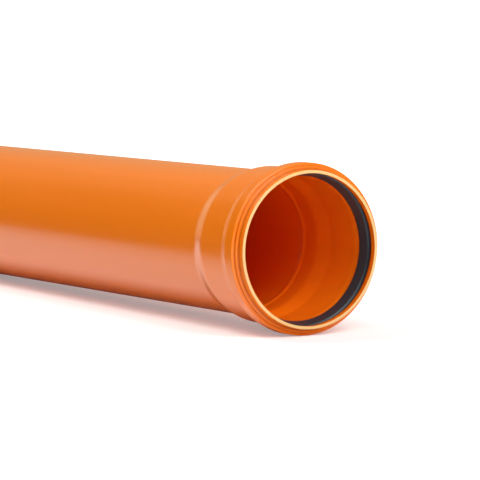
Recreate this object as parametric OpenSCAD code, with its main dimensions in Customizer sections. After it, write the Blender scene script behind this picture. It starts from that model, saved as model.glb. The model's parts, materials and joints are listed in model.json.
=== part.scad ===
// Push-fit sewer pipe in unplasticised PVC, with a belled socket and a rubber
// lip seal. It lies on its bead and on the lower edge of its spigot end.
// Outlines are lists of corners: [radius, distance behind the mouth, rounding].

/* [Pipe] */
// Outside diameter of the plain pipe
pipe_d = 160; // [110:5:200]
// Wall of the plain pipe
wall = 4; // [3.2:0.1:6]
// Laying length, from the foot of the socket to the spigot end
laying_length = 1000; // [500:100:3000]
// Length of the chamfer on the spigot end
chamfer_length = 7; // [4:0.5:10]
// Angle of the chamfer to the pipe's axis
chamfer_angle = 15; // [10:1:20]

/* [Socket] */
// Radial gap between a spigot and the lip at the mouth
mouth_gap = 1.3; // [0.8:0.1:2]
// Radial gap between a spigot and the socket just behind the bead
throat_gap = 2; // [1.2:0.1:3]
// Radial gap between a spigot and the foot of the socket
foot_gap = 1.2; // [0.6:0.1:1.8]
// Wall of the socket, where the pipe was stretched
socket_wall = 4; // [3:0.1:6]
// Depth of the socket, from its mouth to the top of its shoulder
socket_depth = 86; // [70:1:130]
// Length of the shoulder that brings the socket down to the pipe
shoulder_length = 21; // [14:1:40]
// Rounding at both ends of the shoulder
shoulder_blend = 30; // [8:1:50]
// Rounding of the mouth's outer edge
mouth_outer_edge = 1; // [0.3:0.1:1.3]
// Rounding of the mouth's inner edge
mouth_inner_edge = 0.4; // [0.2:0.1:0.8]

/* [Bead] */
// Length of the plain lip in front of the bead
lip_length = 7.2; // [5:0.2:10]
// How much slimmer the lip is at the mouth than at the bead, on the radius
lip_taper = 0.5; // [0:0.1:0.9]
// Length over which the bead rises
bead_rise = 3.4; // [2.6:0.1:6]
// Height of the step on the bead's front, above the lip
step_height = 3.4; // [2.4:0.1:4]
// Length of the step
step_length = 1.8; // [1:0.1:2.2]
// How far the step climbs over its length
step_climb = 0.9; // [0.3:0.1:1.2]
// Rounding of the step's edge and of its root
step_blend = 0.4; // [0.3:0.1:0.9]
// Length of the bead's crown
bead_crown = 14.8; // [12:0.2:18]
// Length over which the bead flares back down to the socket
bead_flare = 14.4; // [12:0.2:30]
// Depth of the seal groove inside the bead
groove_depth = 6.9; // [5.5:0.1:9]
// Rounding at the foot of the bead's rise
rise_foot_blend = 0.8; // [0.5:0.1:2]
// Rounding of the bead's front corner
crown_blend = 1.2; // [0.8:0.1:2.2]
// Rounding at both ends of the flare
flare_blend = 9; // [5:1:20]

/* [Bore] */
// How far the belling mandrel's nose reached past the shoulder
nose_reach = 23; // [12:0.5:40]
// How much wider the nose left the bore, on the radius
nose_step = 0.6; // [0.1:0.05:0.8]
// Height of the ridge that the nose pushed up in front of it, inside the bore
ridge_height = 0.7; // [0.2:0.05:1]
// Length of the ridge's slope, from the widened bore to its top
ridge_slope = 3.2; // [1.8:0.1:4.5]
// Length over which the ridge falls back to the bore
ridge_fall = 8; // [4:0.5:15]
// Rounding at the foot of the ridge's slope
ridge_foot_blend = 2; // [0.5:0.1:3]
// Rounding of the ridge's top
ridge_top_blend = 1.6; // [0.4:0.1:2]

/* [Seal ring] */
// Gap between the seal ring and its groove
seat_gap = 0.2; // [0.1:0.05:0.4]
// Height of the face that bears on the front of the groove
seat_height = 3.7; // [2.8:0.1:4.6]
// Height of the sealing lip's edge inside the spigot's surface
lip_squeeze = 2.3; // [1:0.1:3]
// Length of the sealing lip, from the ring's front to its edge
lip_reach = 13.5; // [12:0.5:16.5]
// Length of the flat land on the lip's edge
lip_land = 2; // [1.5:0.1:3]
// Rounding of the lip's edge, behind its land
lip_rounding = 0.5; // [0.2:0.1:0.5]
// Thickness of the sealing lip at its edge
lip_edge = 1.6; // [1:0.1:2.2]
// Radial gap between a spigot and the ring's nose
nose_gap = 0.8; // [0.4:0.1:1.4]
// How far the nose stands behind the ring's front
nose_setback = 1.2; // [0.6:0.1:2]
// Rounding of the nose
nose_rounding = 1.6; // [0.8:0.1:2.2]
// Thickness of the sealing lip at its root
lip_root = 2.7; // [2:0.1:3.2]
// Length of the slot between the lip and the heel
slot_length = 6.5; // [4:0.5:8]
// Thickness of the heel that sits in the groove
heel = 3.4; // [2.4:0.1:4]
// How far the heel's inner edge stands behind its outer edge
heel_slant = 0.6; // [0:0.1:1]
// Rounding of the ring's other edges
ring_rounding = 0.8; // [0.3:0.1:1]

/* [Hidden] */
$fn = 96;
// Largest turn of one facet on a rounded corner
arc_step = 6;

pipe_r = pipe_d / 2;
bore_r = pipe_r - wall;
nose_r = bore_r + nose_step;
tip_r = pipe_r - chamfer_length * tan(chamfer_angle);

mouth_r = pipe_r + mouth_gap;
throat_r = pipe_r + throat_gap;
foot_r = pipe_r + foot_gap;
groove_r = mouth_r + groove_depth;
bead_r = groove_r + socket_wall;

crown_start = lip_length + bead_rise;
step_start = lip_length + (bead_rise - step_length) / 2;
crown_end = crown_start + bead_crown;
flare_end = crown_end + bead_flare;
shoulder_end = socket_depth + shoulder_length;
nose_end = shoulder_end + nose_reach;
ridge_top = nose_end + ridge_slope;
total_length = socket_depth + laying_length;
chamfer_start = total_length - chamfer_length;

// How far a corner on the inside of a wall lies from its corner on the outside
function inset(thickness, turn) = thickness * tan(turn / 2);
rise_turn = atan(groove_depth / bead_rise);
rise_inset = inset(socket_wall, rise_turn);
flare_turn = atan((groove_r - throat_r) / bead_flare);
flare_inset = inset(socket_wall, flare_turn);
shoulder_turn = atan((foot_r - bore_r) / shoulder_length);
shoulder_inset = inset(wall, shoulder_turn);

// The groove inside the bead
groove_front = lip_length + rise_inset;
groove_start = crown_start + rise_inset;
groove_end = crown_end - flare_inset;

// Smallest rounding on the inside of a bend
least_blend = 0.5;
// The rounding inside a wall whose outside has the given rounding
function inner_blend(outer) = max(outer - socket_wall, least_blend);

// The pipe lies on the back of its bead's crown and on its spigot's last edge
crown_contact = crown_end - flare_blend * tan(flare_turn / 2);
rest_tilt = atan((bead_r - pipe_r) / (chamfer_start - crown_contact));
axis_height = bead_r * cos(rest_tilt) - (total_length / 2 - crown_contact) * sin(rest_tilt);

// One corner of an outline turned into the points of its arc
function unit(v) = v / norm(v);
function corner(before, at, after, rounding) =
    let (u = unit(before - at),
         w = unit(after - at),
         half = acos(u * w) / 2,
         centre = at + unit(u + w) * rounding / sin(half),
         from = at + u * rounding / tan(half) - centre,
         to = at + w * rounding / tan(half) - centre,
         side = sign(cross(from, to)),
         turn = 180 - 2 * half,
         steps = ceil(turn / arc_step))
    [for (i = [0 : steps])
        let (a = side * turn * i / steps)
        centre + [from.x * cos(a) - from.y * sin(a), from.x * sin(a) + from.y * cos(a)]];

// A closed outline with every corner that has a rounding turned into an arc
function rounded(corners) =
    let (n = len(corners), flat = [for (c = corners) [c.x, c.y]])
    [for (i = [0 : n - 1])
        each corners[i].z > 0
            ? corner(flat[(i + n - 1) % n], flat[i], flat[(i + 1) % n], corners[i].z)
            : [flat[i]]];

// Turns an outline round the axis, then lays it down with its mouth towards +X
module turned(corners) {
    translate([0, 0, axis_height])
        rotate([0, -90 - rest_tilt, 0])
            translate([0, 0, -total_length / 2])
                rotate_extrude()
                    polygon(rounded(corners));
}

// One length of pipe, with the socket and its bead belled from the same wall
module pipe() {
    lip_r = mouth_r + socket_wall;
    outside = [
        [lip_r - lip_taper, 0, mouth_outer_edge],
        [lip_r, lip_length, rise_foot_blend],
        [lip_r + step_height, step_start, step_blend],
        [lip_r + step_height + step_climb, step_start + step_length, step_blend],
        [bead_r, crown_start, crown_blend],
        [bead_r, crown_end, flare_blend],
        [throat_r + socket_wall, flare_end, flare_blend],
        [foot_r + socket_wall, socket_depth, shoulder_blend],
        [pipe_r, shoulder_end, shoulder_blend],
        [pipe_r, chamfer_start, 0],
        [tip_r, total_length, 0],
    ];
    inside = [
        [bore_r, total_length, 0],
        [bore_r, ridge_top + ridge_fall, 0],
        [bore_r - ridge_height, ridge_top, ridge_top_blend],
        [nose_r, nose_end, ridge_foot_blend],
        [nose_r, shoulder_end - shoulder_inset, shoulder_blend + wall],
        [foot_r, socket_depth - shoulder_inset, inner_blend(shoulder_blend)],
        [throat_r, flare_end - flare_inset, flare_blend + socket_wall],
        [groove_r, groove_end, inner_blend(flare_blend)],
        [groove_r, groove_start, inner_blend(crown_blend)],
        [mouth_r, groove_front, rise_foot_blend + socket_wall],
        [mouth_r, 0, mouth_inner_edge],
    ];
    color([0.87, 0.42, 0.09])
        turned(concat(outside, inside));
}

// The rubber ring: a heel seated in the groove, and a lip that points down the bore
module seal_ring() {
    seat_r = groove_r - seat_gap;
    seat_start = groove_start + seat_gap / sin(rise_turn) - seat_gap / tan(rise_turn);
    front = seat_start - seat_height / tan(rise_turn);
    back = groove_end - seat_gap;
    land_r = pipe_r - lip_squeeze;
    lip_end = front + lip_reach;
    land_end = lip_end - lip_rounding;
    slot_end = back - slot_length;
    color([0.15, 0.15, 0.16])
        turned([
            [seat_r - seat_height, front, ring_rounding],
            [seat_r, seat_start, ring_rounding],
            [seat_r, back, ring_rounding],
            [seat_r - heel, back + heel_slant, ring_rounding],
            [pipe_r + lip_root, slot_end, ring_rounding],
            [land_r + lip_edge, lip_end, lip_rounding],
            [land_r, lip_end, lip_rounding],
            [land_r, land_end - lip_land, 0],
            [pipe_r + nose_gap, front + nose_setback, nose_rounding],
        ]);
}

pipe();
seal_ring();
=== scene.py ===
import json
import math

import bmesh
import bpy
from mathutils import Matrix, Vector


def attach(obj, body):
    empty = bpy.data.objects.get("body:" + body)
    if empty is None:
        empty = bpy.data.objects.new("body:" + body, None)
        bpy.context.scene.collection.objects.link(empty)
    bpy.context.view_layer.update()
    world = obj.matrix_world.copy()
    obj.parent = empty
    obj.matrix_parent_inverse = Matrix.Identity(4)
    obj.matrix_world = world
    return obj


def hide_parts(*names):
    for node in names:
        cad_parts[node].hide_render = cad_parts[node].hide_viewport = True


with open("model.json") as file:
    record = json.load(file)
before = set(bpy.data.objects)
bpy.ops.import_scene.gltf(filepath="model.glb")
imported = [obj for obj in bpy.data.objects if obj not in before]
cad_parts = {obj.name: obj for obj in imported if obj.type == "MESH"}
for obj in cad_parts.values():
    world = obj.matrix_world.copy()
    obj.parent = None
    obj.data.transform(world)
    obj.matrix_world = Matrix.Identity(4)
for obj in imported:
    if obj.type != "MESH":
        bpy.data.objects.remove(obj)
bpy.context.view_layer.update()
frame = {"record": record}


# ---------------------------------------------------------------------------------------
# The pipe. One length of orange-brown PVC-U, extruded at 160 mm, with the socket, its bead
# and its shoulder belled hot over a mandrel, the rim trimmed and the spigot end chamfered.
# It lies on its bead and on the end of its spigot, so its axis climbs towards the mouth.
# ---------------------------------------------------------------------------------------
mounts = {mount["name"]: mount for mount in frame["record"]["mounts"]}
axis = Vector(mounts["socket_mouth"]["axis"])
tilt = math.asin(axis.z)
mouth_inner_edge = 0.0004
mouth_land = mounts["socket_mouth"]["dims"]["length_mm"] / 1000
mouth = Vector(mounts["socket_mouth"]["pos_m"]) + axis * (mouth_land / 2 + mouth_inner_edge)

wall_thickness = 0.004
throat_gap = 0.002
foot_gap = 0.0012
groove_depth = 0.0069
nose_step = 0.0006
ridge_height = 0.0009
pipe_r = mounts["spigot"]["dims"]["r_mm"] / 1000
bore_r = pipe_r - wall_thickness
nose_r = bore_r + nose_step
ridge_r = bore_r - ridge_height
mouth_r = mounts["socket_mouth"]["dims"]["r_mm"] / 1000
lip_r = mouth_r + wall_thickness
throat_r = pipe_r + throat_gap
foot_r = pipe_r + foot_gap
groove_r = mouth_r + groove_depth
bead_r = groove_r + wall_thickness

lip_length = 0.0072
lip_taper = 0.0005
bead_rise = 0.0034
bead_crown = 0.0148
bead_flare = 0.0144
crown_start = lip_length + bead_rise
crown_end = crown_start + bead_crown
flare_end = crown_end + bead_flare

step_height = 0.0034
step_length = 0.0028
step_r = lip_r + step_height
step_start = lip_length + (bead_rise - step_length) / 2
step_end = step_start + step_length

socket_depth = 0.086
shoulder_length = 0.021
nose_reach = 0.0227
ridge_slope = 0.0038
ridge_fall = 0.008
shoulder_end = socket_depth + shoulder_length
nose_end = shoulder_end + nose_reach
ridge_top = nose_end + ridge_slope

chamfer_length = 0.007
chamfer_angle = math.radians(15)
spigot_reach = (mouth - Vector(mounts["spigot"]["pos_m"])).length
pipe_length = spigot_reach + chamfer_length
tip_r = pipe_r - chamfer_length * math.tan(chamfer_angle)

mouth_outer_edge = 0.001
foot_blend = 0.0005
step_edge = 0.0007
step_root = 0.0003
crown_blend = 0.0012
inner_blend = 0.0005
flare_blend = 0.009
shoulder_blend = 0.030
ridge_foot_blend = 0.002
ridge_top_blend = 0.0016
ridge_back_blend = 0.010

arc_steps = 8
round_steps = 320
round_profile = 0.5
smooth_angle = math.radians(12)
starter_size = 0.001
weld_distance = 1e-6


def rounding_reach(corner_before, corner, corner_after, rounding):
    """How far a rounding reaches along both sides of its corner."""
    turn = math.pi - (corner_before - corner).angle(corner_after - corner)
    return rounding * math.tan(turn / 2)


def turned(name, corners):
    """An outline, spun round the pipe's axis and laid down.

    Each corner is its distance behind the mouth, its radius and its rounding.
    """
    # The outline is drawn out of one point, corner by corner, and closed.
    points = [Vector((-behind, 0, radius)) for behind, radius, rounding in corners]
    bpy.ops.object.select_all(action="DESELECT")
    bpy.ops.mesh.primitive_plane_add(size=starter_size, location=(0, 0, 0))
    piece = bpy.context.object
    piece.name = name
    piece.data.name = name
    bpy.ops.object.mode_set(mode="EDIT")
    bpy.ops.mesh.select_all(action="SELECT")
    bpy.ops.mesh.merge(type="CENTER")
    bpy.ops.transform.translate(value=points[0])
    for start, end in zip(points, points[1:]):
        bpy.ops.mesh.extrude_region_move(TRANSFORM_OT_translate={"value": end - start})
    bpy.ops.mesh.select_all(action="SELECT")
    bpy.ops.mesh.edge_face_add()
    bpy.ops.mesh.delete(type="ONLY_FACE")

    # Each corner that has a rounding is bevelled into an arc.
    count = len(points)
    for i, (behind, radius, rounding) in enumerate(corners):
        if not rounding:
            continue
        mesh = bmesh.from_edit_mesh(piece.data)
        for vertex in mesh.verts:
            vertex.select = (vertex.co - points[i]).length < weld_distance
        mesh.select_flush_mode()
        bmesh.update_edit_mesh(piece.data)
        reach = rounding_reach(points[i - 1], points[i], points[(i + 1) % count], rounding)
        bpy.ops.mesh.bevel(affect="VERTICES", offset=reach, segments=arc_steps, profile=round_profile)

    # The outline is spun through a full turn, and welded where it meets itself.
    bpy.ops.mesh.select_all(action="SELECT")
    bpy.ops.mesh.spin(steps=round_steps, angle=2 * math.pi, center=(0, 0, 0), axis=(1, 0, 0))
    bpy.ops.mesh.select_all(action="SELECT")
    bpy.ops.mesh.remove_doubles(threshold=weld_distance)
    bpy.ops.mesh.normals_make_consistent(inside=False)
    bpy.ops.object.mode_set(mode="OBJECT")

    # The piece is laid down, and its edges are kept sharp and its faces smooth.
    piece.rotation_euler = (0, -tilt, 0)
    piece.location = mouth
    bpy.ops.object.transform_apply(location=True, rotation=True, scale=True)
    bpy.ops.object.shade_smooth_by_angle(angle=smooth_angle)
    bpy.ops.object.modifier_add(type="WEIGHTED_NORMAL")
    piece.modifiers[-1].keep_sharp = True
    bpy.ops.object.modifier_apply(modifier=piece.modifiers[-1].name)
    return piece


def bend_inset(thickness, rise, run):
    """How far along the pipe a bend's corner moves from the outside of a thickness to its inside."""
    return thickness * math.tan(math.atan(rise / run) / 2)


rise_inset = bend_inset(wall_thickness, groove_depth, bead_rise)
flare_inset = bend_inset(wall_thickness, groove_r - throat_r, bead_flare)
shoulder_inset = bend_inset(wall_thickness, foot_r - bore_r, shoulder_length)
groove_start = crown_start + rise_inset
groove_end = crown_end - flare_inset

pipe = turned("pipe_shell", [
    (0, lip_r - lip_taper, mouth_outer_edge),
    (lip_length, lip_r, foot_blend),
    (step_start, step_r, step_edge),
    (step_end, step_r, step_root),
    (crown_start, bead_r, crown_blend),
    (crown_end, bead_r, flare_blend),
    (flare_end, throat_r + wall_thickness, flare_blend),
    (socket_depth, foot_r + wall_thickness, shoulder_blend),
    (shoulder_end, pipe_r, shoulder_blend),
    (spigot_reach, pipe_r, 0),
    (pipe_length, tip_r, 0),
    (pipe_length, bore_r, 0),
    (ridge_top + ridge_fall, bore_r, ridge_back_blend),
    (ridge_top, ridge_r, ridge_top_blend),
    (nose_end, nose_r, ridge_foot_blend),
    (shoulder_end - shoulder_inset, nose_r, shoulder_blend + wall_thickness),
    (socket_depth - shoulder_inset, foot_r, shoulder_blend - wall_thickness),
    (flare_end - flare_inset, throat_r, flare_blend + wall_thickness),
    (groove_end, groove_r, flare_blend - wall_thickness),
    (groove_start, groove_r, inner_blend),
    (lip_length + rise_inset, mouth_r, foot_blend + wall_thickness),
    (0, mouth_r, mouth_inner_edge),
])


def even_step(tree, value, start, end, low, high, kind="LINEAR"):
    """A value that goes evenly from low to high as the input goes from start to end."""
    step = tree.nodes.new("ShaderNodeMapRange")
    step.interpolation_type = kind
    for name, number in (("From Min", start), ("From Max", end), ("To Min", low), ("To Max", high)):
        step.inputs[name].default_value = number
    tree.links.new(value, step.inputs["Value"])
    return step.outputs[0]


def smooth_step(tree, value, start, end, low, high):
    """The same, but it leaves low and reaches high softly."""
    return even_step(tree, value, start, end, low, high, "SMOOTHSTEP")


def arithmetic(tree, operation, first, second=None):
    """A Math node, whose inputs are sockets or numbers."""
    node = tree.nodes.new("ShaderNodeMath")
    node.operation = operation
    for socket, value in zip(node.inputs, (first, second)):
        if value is None:
            continue
        if isinstance(value, (int, float)):
            socket.default_value = value
        else:
            tree.links.new(value, socket)
    return node.outputs[0]


def blended(tree, share, first, second):
    """A colour that goes from the first to the second as the share goes from 0 to 1.

    Each of the two is a colour, or a socket that gives one.
    """
    blend = tree.nodes.new("ShaderNodeMix")
    blend.data_type = "RGBA"
    # With colours, a Mix node takes the two at sockets 6 and 7 and gives the blend at 2.
    for socket, colour in ((blend.inputs[6], first), (blend.inputs[7], second)):
        if isinstance(colour, tuple):
            socket.default_value = (*colour, 1)
        else:
            tree.links.new(colour, socket)
    tree.links.new(share, blend.inputs["Factor"])
    return blend.outputs[2]


def along_the_pipe(tree):
    """The place on the pipe, measured from the middle of its mouth along its own axis."""
    place = tree.nodes.new("ShaderNodeTexCoord")
    turn = tree.nodes.new("ShaderNodeMapping")
    turn.vector_type = "TEXTURE"
    turn.inputs["Location"].default_value = mouth
    turn.inputs["Rotation"].default_value = (0, -tilt, 0)
    tree.links.new(place.outputs["Object"], turn.inputs["Vector"])
    return turn.outputs[0]


def distance_along(tree, spot):
    """How far along the axis a place on the pipe lies: 0 at the mouth, and below 0 behind it."""
    parts = tree.nodes.new("ShaderNodeSeparateXYZ")
    tree.links.new(spot, parts.inputs[0])
    return parts.outputs["X"]


def distance_out(tree, spot):
    """How far out from the axis a place on the pipe lies."""
    flat = tree.nodes.new("ShaderNodeVectorMath")
    flat.operation = "MULTIPLY"
    flat.inputs[1].default_value = (0, 1, 1)
    tree.links.new(spot, flat.inputs[0])
    out = tree.nodes.new("ShaderNodeVectorMath")
    out.operation = "LENGTH"
    tree.links.new(flat.outputs[0], out.inputs[0])
    return out.outputs["Value"]


def noise(tree, place, grains, detail=2.0):
    """A noise from 0 to 1, with so many grains to a metre along the pipe and across it."""
    scale = tree.nodes.new("ShaderNodeMapping")
    scale.inputs["Scale"].default_value = grains
    grain = tree.nodes.new("ShaderNodeTexNoise")
    grain.inputs["Scale"].default_value = 1.0
    grain.inputs["Detail"].default_value = detail
    tree.links.new(place, scale.inputs["Vector"])
    tree.links.new(scale.outputs[0], grain.inputs["Vector"])
    return grain.outputs["Fac"]


def bump(tree, height, depth, under=None):
    """A relief as deep as the depth, laid over the relief under it."""
    relief = tree.nodes.new("ShaderNodeBump")
    relief.inputs["Strength"].default_value = 1.0
    relief.inputs["Distance"].default_value = depth
    tree.links.new(height, relief.inputs["Height"])
    if under is not None:
        tree.links.new(under, relief.inputs["Normal"])
    return relief.outputs[0]


def painted_shade_ring(tree, spot, behind, radius, reach, strength):
    """Painted shade in a ring round the pipe, strongest at the ring itself and gone at its reach."""
    section = tree.nodes.new("ShaderNodeCombineXYZ")
    tree.links.new(distance_along(tree, spot), section.inputs["X"])
    tree.links.new(distance_out(tree, spot), section.inputs["Y"])
    away = tree.nodes.new("ShaderNodeVectorMath")
    away.operation = "DISTANCE"
    tree.links.new(section.outputs[0], away.inputs[0])
    away.inputs[1].default_value = (-behind, radius, 0)
    return smooth_step(tree, away.outputs["Value"], 0.0, reach, strength, 0.0)


# The compound is dyed right through and comes glossy off the die, with faint lines along
# the pipe and a very slight ripple in the wall. The socket keeps faint rings from the mandrel
# that it was belled on, and the pipe has a few dull scuffs from the stack.
pvc_deep = (0.902, 0.198, 0.0045)
pvc_pale = (0.958, 0.214, 0.0055)
pvc_roughness = (0.16, 0.24)
noise_span = (0.3, 0.7)
streak_grain = (2.5, 60, 60)
die_line_grain = (1.2, 260, 260)
die_line_depth = 0.000002
ripple_grain = (9, 26, 26)
ripple_depth = 0.00012
mandrel_ring_grain = (700, 3, 3)
mandrel_ring_depth = 0.000012
scuff_grain = (14, 170, 170)
scuff_edge = (0.66, 0.78)
scuff_dullness = 0.05

pvc = bpy.data.materials.new("orange_pvc")
pvc.use_nodes = True
tree = pvc.node_tree
shader = tree.nodes["Principled BSDF"]
spot = along_the_pipe(tree)
streaks = noise(tree, spot, streak_grain)
dyed = blended(tree, streaks, pvc_deep, pvc_pale)
gloss = even_step(tree, streaks, *noise_span, *pvc_roughness)
scuffs = smooth_step(tree, noise(tree, spot, scuff_grain, detail=4.0), *scuff_edge, 0.0, 1.0)
tree.links.new(arithmetic(tree, "ADD", gloss, arithmetic(tree, "MULTIPLY", scuffs, scuff_dullness)),
               shader.inputs["Roughness"])
belled = smooth_step(tree, distance_along(tree, spot), -shoulder_end, -socket_depth, 0.0, 1.0)
mandrel_rings = arithmetic(tree, "MULTIPLY", noise(tree, spot, mandrel_ring_grain), belled)
relief = bump(tree, noise(tree, spot, ripple_grain, detail=0.0), ripple_depth)
relief = bump(tree, noise(tree, spot, die_line_grain), die_line_depth, relief)
relief = bump(tree, mandrel_rings, mandrel_ring_depth, relief)
tree.links.new(relief, shader.inputs["Normal"])

# Painted shade darkens the two creases on the bead's front, and a dark painted shade lies on
# the wall just in front of the rubber, where the gap between them is in shade.
crease_shade_brown = (0.38, 0.065, 0.003)
lip_shade_reach = 0.0030
lip_shade_strength = 0.5
step_shade_reach = 0.0022
step_shade_strength = 0.3
crevice_shade_black = (0.06, 0.014, 0.004)
crevice_shade_behind = 0.0080
crevice_shade_lift = 0.0002
crevice_shade_reach = 0.0034

# Painted shade in the bead's two creases.
lip_shade = painted_shade_ring(tree, spot, lip_length, lip_r, lip_shade_reach, lip_shade_strength)
step_shade = painted_shade_ring(tree, spot, step_end, step_r, step_shade_reach, step_shade_strength)
# Painted shade on the wall in front of the rubber, where the gap between them lies in shade.
crevice_shade = painted_shade_ring(tree, spot, crevice_shade_behind, mouth_r + crevice_shade_lift, crevice_shade_reach, 1.0)
crease_shaded = blended(tree, arithmetic(tree, "MAXIMUM", lip_shade, step_shade), dyed, crease_shade_brown)
tree.links.new(blended(tree, crevice_shade, crease_shaded, crevice_shade_black), shader.inputs["Base Color"])
pipe.data.materials.append(pvc)

# The rim and the spigot end are cut, which leaves them paler and matt, with the fine rings of
# the cutter.
cut_deep = (0.82, 0.48, 0.17)
cut_pale = (0.92, 0.58, 0.24)
cut_roughness = (0.38, 0.55)
cut_grain = (900, 900, 900)
cutter_pitch = 0.0006
cutter_ring_share = 0.4
cutter_mark_depth = 0.00003
rim_facing = 0.7
end_reach = 0.0001

cut = bpy.data.materials.new("trimmed_pvc")
cut.use_nodes = True
tree = cut.node_tree
shader = tree.nodes["Principled BSDF"]
spot = along_the_pipe(tree)
turns = arithmetic(tree, "MULTIPLY", distance_out(tree, spot), 2 * math.pi / cutter_pitch)
cutter_rings = even_step(tree, arithmetic(tree, "SINE", turns), -1.0, 1.0, 0.0, 1.0)
grain = noise(tree, spot, cut_grain)
marks = arithmetic(tree, "ADD", arithmetic(tree, "MULTIPLY", cutter_rings, cutter_ring_share),
                   arithmetic(tree, "MULTIPLY", grain, 1 - cutter_ring_share))
tree.links.new(blended(tree, marks, cut_deep, cut_pale), shader.inputs["Base Color"])
tree.links.new(even_step(tree, marks, 0.0, 1.0, *cut_roughness), shader.inputs["Roughness"])
tree.links.new(bump(tree, marks, cutter_mark_depth), shader.inputs["Normal"])
pipe.data.materials.append(cut)
for face in pipe.data.polygons:
    behind = (mouth - face.center).dot(axis)
    on_rim = behind < mouth_outer_edge and face.normal.dot(axis) > rim_facing
    on_end = abs(behind - pipe_length) < end_reach
    if on_rim or on_end:
        face.material_index = 1
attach(pipe, "root")
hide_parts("pipe")


# ---------------------------------------------------------------------------------------
# The seal. One moulded rubber ring: its heel sits in the groove inside the bead, and its
# lip points down the bore and grips the spigot of the next pipe.
# ---------------------------------------------------------------------------------------
seat_gap = 0.0002
seat_height = 0.0037
lip_reach = 0.0135
lip_land = 0.0020
lip_edge = 0.0016
lip_root = 0.0027
lip_rounding = 0.0005
nose_gap = 0.0008
nose_setback = 0.0012
nose_rounding = 0.0016
slot_length = 0.0065
heel = 0.0034
heel_slant = 0.0006
ring_rounding = 0.0008

seat_r = groove_r - seat_gap
seat_start = groove_start + bend_inset(seat_gap, groove_depth, bead_rise)
seal_front = seat_start - seat_height * bead_rise / groove_depth
seal_back = groove_end - seat_gap
land_r = mounts["seal_lip"]["dims"]["r_mm"] / 1000
lip_end = seal_front + lip_reach
land_start = lip_end - lip_rounding - lip_land

seal = turned("seal_lip_ring", [
    (seal_front, seat_r - seat_height, ring_rounding),
    (seat_start, seat_r, ring_rounding),
    (seal_back, seat_r, ring_rounding),
    (seal_back + heel_slant, seat_r - heel, ring_rounding),
    (seal_back - slot_length, pipe_r + lip_root, ring_rounding),
    (lip_end, land_r + lip_edge, lip_rounding),
    (lip_end, land_r, lip_rounding),
    (land_start, land_r, 0),
    (seal_front + nose_setback, pipe_r + nose_gap, nose_rounding),
])

# The rubber is black and satin, with a fine grain from the mould, faint rings where the mould
# was turned, and a little grey bloom. The socket lights it orange, so it is written bluish.
rubber_black = (0.012, 0.028, 0.038)
rubber_bloom = (0.022, 0.040, 0.050)
rubber_roughness = (0.28, 0.40)
bloom_grain = (60, 60, 60)
mould_grain = (1800, 1800, 1800)
mould_grain_depth = 0.00002
mould_ring_grain = (1500, 4, 4)
mould_ring_depth = 0.00004

rubber = bpy.data.materials.new("seal_rubber")
rubber.use_nodes = True
tree = rubber.node_tree
shader = tree.nodes["Principled BSDF"]
spot = along_the_pipe(tree)
bloom = noise(tree, spot, bloom_grain, detail=4.0)
tree.links.new(blended(tree, bloom, rubber_black, rubber_bloom), shader.inputs["Base Color"])
tree.links.new(even_step(tree, bloom, *noise_span, *rubber_roughness), shader.inputs["Roughness"])
relief = bump(tree, noise(tree, spot, mould_grain), mould_grain_depth)
relief = bump(tree, noise(tree, spot, mould_ring_grain), mould_ring_depth, relief)
tree.links.new(relief, shader.inputs["Normal"])
seal.data.materials.append(rubber)
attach(seal, "root")
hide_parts("seal_ring")


# ---------------------------------------------------------------------------------------
# The studio floor. White paper, which reads as white away from the pipe and keeps its shadow.
# Glossy surfaces see it bright behind the pipe and in front of the mouth, and dark on the
# camera's side, and a painted shadow darkens a strip right under the pipe.
# ---------------------------------------------------------------------------------------
floor_size = 40.0
paper_white = 0.86
sheet_edge = (-0.42, -0.12)
sheet_front = (0.56, 0.72)
sheet_on_camera_side = 0.03
contact_shadow_edge = (0.025, 0.075)
contact_shadow_share = 0.1
sheet_glow = 0.44
shadow_zone = (0.75, 1.7)
shadow_lift = 0.3

bpy.ops.object.select_all(action="DESELECT")
bpy.ops.mesh.primitive_plane_add(size=floor_size, location=(0, 0, 0))
floor = bpy.context.object
floor.name = "floor"

paper = bpy.data.materials.new("floor_paper")
paper.use_nodes = True
tree = paper.node_tree
tree.nodes.clear()
place = tree.nodes.new("ShaderNodeTexCoord").outputs["Object"]
parts = tree.nodes.new("ShaderNodeSeparateXYZ")
tree.links.new(place, parts.inputs[0])
away = tree.nodes.new("ShaderNodeVectorMath")
away.operation = "LENGTH"
tree.links.new(place, away.inputs[0])
rays = tree.nodes.new("ShaderNodeLightPath")

# What glossy surfaces see of the floor, from 0 for dark to 1 for white.
aside = arithmetic(tree, "ABSOLUTE", parts.outputs["Y"])
beside = smooth_step(tree, parts.outputs["Y"], *sheet_edge, sheet_on_camera_side, 1.0)
ahead = smooth_step(tree, parts.outputs["X"], *sheet_front, 0.0, 1.0)
# A painted shadow darkens what glossy surfaces see in a strip right under the pipe.
contact_shadow = smooth_step(tree, aside, *contact_shadow_edge, contact_shadow_share, 1.0)
sheet = arithmetic(tree, "MAXIMUM", arithmetic(tree, "MULTIPLY", beside, contact_shadow), ahead)
tone = blended(tree, rays.outputs["Is Glossy Ray"],
               (paper_white, paper_white, paper_white),
               arithmetic(tree, "MULTIPLY", sheet, paper_white))
matt = tree.nodes.new("ShaderNodeBsdfDiffuse")
tree.links.new(tone, matt.inputs["Color"])

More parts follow.
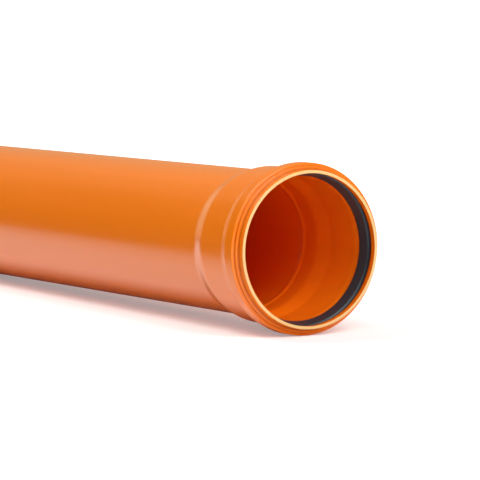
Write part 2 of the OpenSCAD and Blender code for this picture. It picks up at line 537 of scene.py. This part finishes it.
# A glow lifts the paper to full white for the camera, less so near the pipe and its shadow.
glow = smooth_step(tree, away.outputs["Value"], *shadow_zone, shadow_lift, 1.0)
seen = arithmetic(tree, "MULTIPLY", rays.outputs["Is Camera Ray"], glow)
mirrored = arithmetic(tree, "MULTIPLY", rays.outputs["Is Glossy Ray"], sheet)
light = tree.nodes.new("ShaderNodeEmission")
tree.links.new(arithmetic(tree, "ADD", seen, arithmetic(tree, "MULTIPLY", mirrored, sheet_glow)),
               light.inputs["Strength"])
both = tree.nodes.new("ShaderNodeAddShader")
output = tree.nodes.new("ShaderNodeOutputMaterial")
tree.links.new(matt.outputs[0], both.inputs[0])
tree.links.new(light.outputs[0], both.inputs[1])
tree.links.new(both.outputs[0], output.inputs["Surface"])
floor.data.materials.append(paper)


# ---------------------------------------------------------------------------------------
# The room. The camera sees it white. It lights the pipe as a dim room, nearly dark on the
# camera's side and lighter behind the pipe, with a brighter wall past the spigot end. Glossy
# surfaces see it warmer.
# ---------------------------------------------------------------------------------------
room_dark = 0.05
room_light = 0.52
room_turn = (-0.55, 0.25)
end_wall = 0.65
end_wall_edge = (-0.98, -0.92)
room_plain = (0.9, 0.9, 0.9)
room_warm = (1.0, 0.8, 0.5)

world = bpy.data.worlds.new("studio")
bpy.context.scene.world = world
world.use_nodes = True
tree = world.node_tree
tree.nodes.clear()
direction = tree.nodes.new("ShaderNodeTexCoord").outputs["Generated"]
parts = tree.nodes.new("ShaderNodeSeparateXYZ")
tree.links.new(direction, parts.inputs[0])
rays = tree.nodes.new("ShaderNodeLightPath")
room_tone = blended(tree, rays.outputs["Is Glossy Ray"], room_plain, room_warm)
walls = smooth_step(tree, parts.outputs["Y"], *room_turn, room_dark, room_light)
far_wall = smooth_step(tree, parts.outputs["X"], *end_wall_edge, end_wall, 0.0)
room = tree.nodes.new("ShaderNodeBackground")
tree.links.new(room_tone, room.inputs["Color"])
tree.links.new(arithmetic(tree, "ADD", walls, far_wall), room.inputs["Strength"])
white = tree.nodes.new("ShaderNodeBackground")
white.inputs["Color"].default_value = (1, 1, 1, 1)
choice = tree.nodes.new("ShaderNodeMixShader")
output = tree.nodes.new("ShaderNodeOutputWorld")
tree.links.new(rays.outputs["Is Camera Ray"], choice.inputs[0])
tree.links.new(room.outputs[0], choice.inputs[1])
tree.links.new(white.outputs[0], choice.inputs[2])
tree.links.new(choice.outputs[0], output.inputs["Surface"])


# ---------------------------------------------------------------------------------------
# The lamps. Four soft boxes at one distance: two look down into the mouth, a low one looks
# along the bore, and one stands over the barrel on the camera's side. Light bounces many
# times along the bore, so more bounces than usual are kept.
# ---------------------------------------------------------------------------------------
lamp_aim = Vector((0.4, 0, 0.1))
lamp_distance = 2.5
lamp_size = 1.1
most_bounces = 20
most_diffuse_bounces = 16


def soft_box(name, turn, height, radiance):
    """A square lamp aimed at the socket.

    It is turned from the mouth's direction towards the camera, and raised, by degrees.
    """
    across = math.radians(turn)
    up = math.radians(height)
    towards = Vector((math.cos(up) * math.cos(across),
                      -math.cos(up) * math.sin(across),
                      math.sin(up)))
    bpy.ops.object.light_add(type="AREA", location=lamp_aim + towards * lamp_distance)
    lamp = bpy.context.object
    lamp.name = name
    lamp.rotation_euler = (-towards).to_track_quat("-Z", "Y").to_euler()
    lamp.data.shape = "SQUARE"
    lamp.data.size = lamp_size
    lamp.data.energy = radiance * math.pi * lamp_size * lamp_size


soft_box("mouth_box", turn=-8, height=43, radiance=7.6)
soft_box("low_box", turn=-12, height=18, radiance=2.0)
soft_box("near_box", turn=32, height=34, radiance=3.8)
soft_box("barrel_box", turn=140, height=52, radiance=9.0)
bpy.context.scene.cycles.max_bounces = most_bounces
bpy.context.scene.cycles.diffuse_bounces = most_diffuse_bounces


# ---------------------------------------------------------------------------------------
# The camera. It stands well back with a long lens, in front of the mouth and to its left,
# and looks down a little, so that the socket fills the right half of the view.
# ---------------------------------------------------------------------------------------
azimuth = math.radians(58.62)
elevation = math.radians(5.32)
distance = 3.270
mouth_right_of_middle = 0.0750
mouth_below_middle = 0.0105
lens_mm = 231.7
sensor_mm = 36
farthest_seen = 30

to_right = Vector((math.cos(azimuth), math.sin(azimuth), 0))
forward = Vector((-math.sin(azimuth) * math.cos(elevation),
                  math.cos(azimuth) * math.cos(elevation),
                  -math.sin(elevation)))
upward = to_right.cross(forward)
middle = mouth - to_right * mouth_right_of_middle + upward * mouth_below_middle

bpy.ops.object.camera_add(location=middle - forward * distance,
                          rotation=(math.pi / 2 - elevation, 0, azimuth))
camera = bpy.context.object
camera.name = "camera"
camera.data.lens = lens_mm
camera.data.sensor_width = sensor_mm
camera.data.clip_end = farthest_seen
bpy.context.scene.camera = camera
bpy.context.scene.view_settings.view_transform = "Standard"
